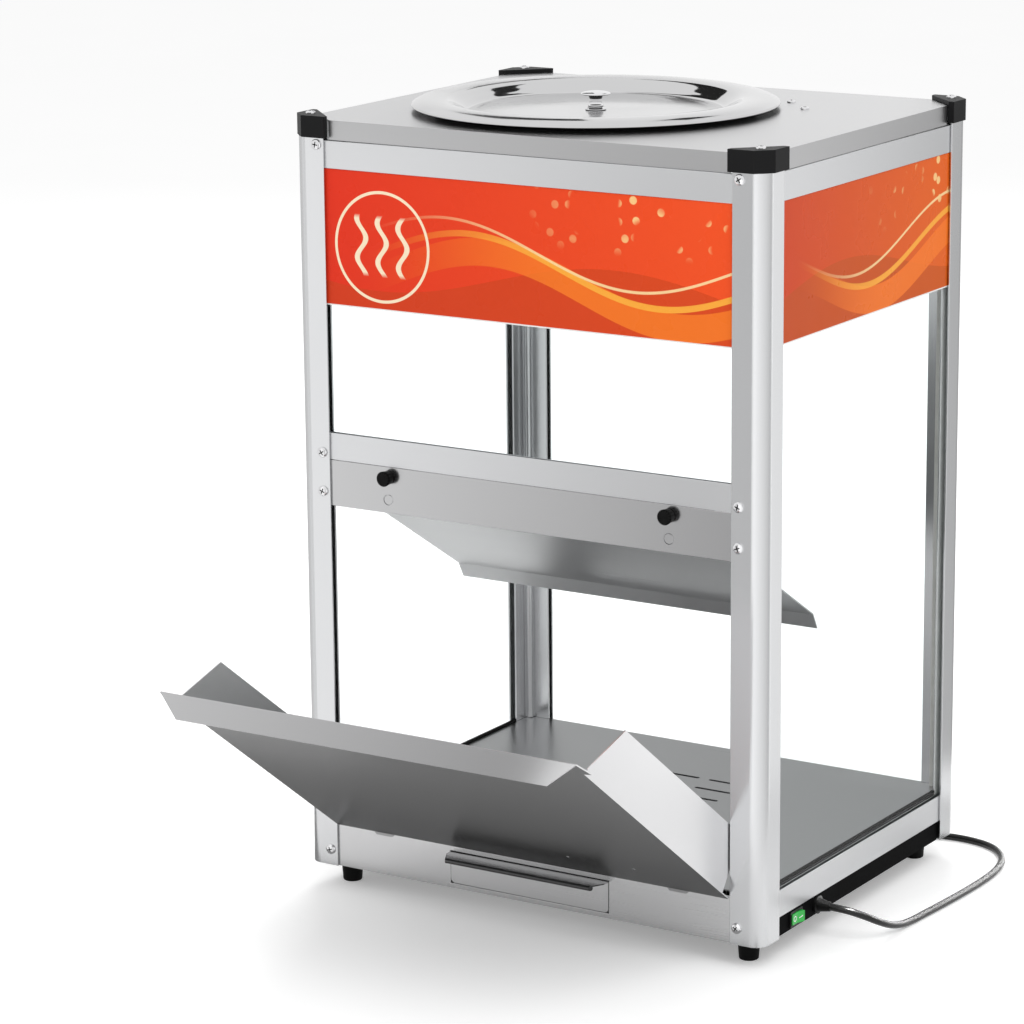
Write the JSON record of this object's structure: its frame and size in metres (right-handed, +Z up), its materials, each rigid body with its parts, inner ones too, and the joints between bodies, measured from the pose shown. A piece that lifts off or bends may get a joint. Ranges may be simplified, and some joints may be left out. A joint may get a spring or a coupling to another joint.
{
  "type": "chip warmer",
  "caption": "Counter-top chip warmer: framed clear cabinet with a lift-off lid, tilting serving door, sloping baffle, crumb drawer, heated base and mains cord.",
  "frame": {"origin": "on the counter under the feet, at the middle of the plan that the cabinet and its open serving door cover", "axes": "+Z up, +Y towards the rear, +X to the right of someone facing the serving door"},
  "size_m": [0.5256, 0.7426, 0.703],
  "materials": {
    "anodised_aluminium": "satin, clear anodised extrusion",
    "brushed_stainless": "brushed along its length",
    "polished_stainless": "spun and polished to a mirror",
    "door_stainless": "bright rolled sheet, softly reflective",
    "black_enamel": "black powder coat",
    "cap_black": "fine-grained moulded",
    "foot_rubber": "moulded, dull",
    "seal_rubber": "extruded strip",
    "clear_window": "clear sheet",
    "front_print": "printed sheet, warm red to orange",
    "side_print": "printed sheet, warm orange",
    "screw_steel": "stainless machine screws",
    "zinc_steel": "zinc plated",
    "knob_black": "fluted, black anodised",
    "switch_black": "moulded",
    "switch_green": "tinted, lit from behind",
    "cord_black": "glossy PVC sheath",
    "pin_brass": "plated pins",
    "element_sheath": "heat-darkened sheath",
    "terminal_ceramic": "glazed",
    "lamp_glass": "frosted envelope",
    "cover_white": "white enamel",
    "wire_insulation": "heat-proof sleeving"
  },
  "bodies": {
    "cabinet": {"apron_plate": "brushed_stainless", "base_pan": "black_enamel", "bottom_rail_left": "anodised_aluminium", "bottom_rail_rear": "anodised_aluminium", "bottom_rail_right": "anodised_aluminium", "cap_screws": "screw_steel", "cord": "cord_black", "cord_coil": "cord_black", "cord_gland": "cord_black", "cord_tie": "cord_black", "corner_caps": "cap_black", "drawer_runners": "zinc_steel", "feet": "foot_rubber", "floor_plate": "brushed_stainless", "floor_seals": "seal_rubber", "flow_baffle": "brushed_stainless", "foot_nuts": "zinc_steel", "foot_screws": "zinc_steel", "front_banner": "front_print", "front_panel": "brushed_stainless", "front_window": "clear_window", "heater_supports": "zinc_steel", "heating_elements": "element_sheath", "inner_wires": "wire_insulation", "lamp_bracket": "zinc_steel", "lamp_bulb": "lamp_glass", "lamp_holder": "terminal_ceramic", "lamp_lead_cover": "cover_white", "lamp_screws": "screw_steel", "left_banner": "side_print", "left_window": "clear_window", "mid_rail_front": "anodised_aluminium", "plug_body": "cord_black", "plug_pins": "pin_brass", "post_front_left": "anodised_aluminium", "post_front_right": "anodised_aluminium", "post_rear_left": "anodised_aluminium", "post_rear_right": "anodised_aluminium", "post_screws": "screw_steel", "rear_window": "clear_window", "right_banner": "side_print", "right_window": "clear_window", "stud_nuts": "zinc_steel", "switch_housing": "switch_black", "terminal_block": "terminal_ceramic", "thermostat": "terminal_ceramic", "top_panel": "brushed_stainless", "top_rail_front": "anodised_aluminium", "top_rail_left": "anodised_aluminium", "top_rail_rear": "anodised_aluminium", "top_rail_right": "anodised_aluminium"},
    "door": {"serving_door": "door_stainless"},
    "drawer": {"drawer_tray": "brushed_stainless", "drawer_front": "brushed_stainless"},
    "lid": {"lid_dish": "polished_stainless", "lid_knob": "polished_stainless", "lid_knob_screw": "screw_steel"},
    "rocker": {"rocker": "switch_green"},
    "knob_left": {"thumb_knob_left": "knob_black"},
    "knob_right": {"thumb_knob_right": "knob_black"}
  },
  "joints": [
    {"name": "door_tilt", "type": "hinge", "parent": "cabinet", "child": "door", "pos_m": [0, -0.05425, 0.063], "axis": [-1, 0, 0], "range_deg": [0, 53]},
    {"name": "drawer_slide", "type": "slide", "parent": "cabinet", "child": "drawer", "axis": [0, -1, 0], "range_m": [0, 0.19]},
    {"name": "lid_lift", "type": "slide", "parent": "cabinet", "child": "lid", "axis": [0, 0, 1], "range_m": [0, 0.12]},
    {"name": "rocker_press", "type": "hinge", "parent": "cabinet", "child": "rocker", "pos_m": [0.2276, 0.0076, 0.0299], "axis": [0, 0, 1], "range_deg": [0, 20]},
    {"name": "knob_left_turn", "type": "hinge", "parent": "cabinet", "child": "knob_left", "pos_m": [-0.1394, -0.05505, 0.3826], "axis": [0, 1, 0], "continuous": true},
    {"name": "knob_right_turn", "type": "hinge", "parent": "cabinet", "child": "knob_right", "pos_m": [0.1394, -0.05505, 0.3826], "axis": [0, 1, 0], "continuous": true}
  ]
}
